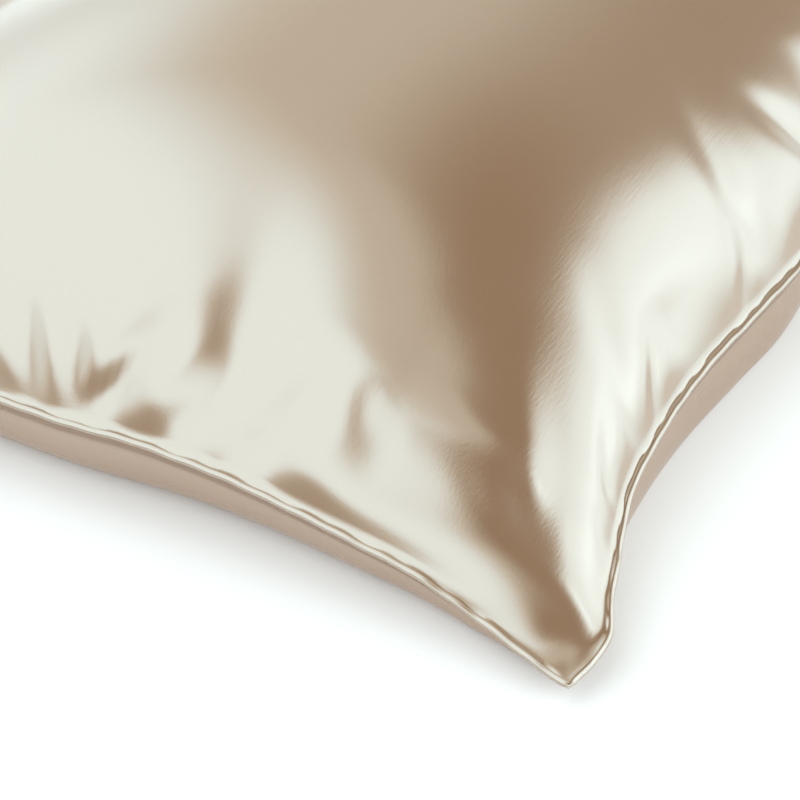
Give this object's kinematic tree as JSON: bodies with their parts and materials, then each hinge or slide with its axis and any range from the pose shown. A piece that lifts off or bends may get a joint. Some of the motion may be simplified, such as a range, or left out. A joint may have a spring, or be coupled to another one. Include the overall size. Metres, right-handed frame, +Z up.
{
  "type": "filled pillowcase",
  "caption": "Satin pillowcase filled by a plump pillow, with sewn edges drawn in at the sides, drooping corner ears and a hemmed mouth, lying flat on its back.",
  "frame": {"origin": "centre of the outline on the surface that the filled case lies on", "axes": "+Z up out of the top panel; +X along the long sides, from the closed end towards the hemmed mouth; +Y along the closed end, from the near long side to the far one"},
  "size_m": [0.7394, 0.4972, 0.1473],
  "materials": {
    "satin": "satin"
  },
  "bodies": {
    "root": {"filled_case": "satin"}
  },
  "joints": []
}
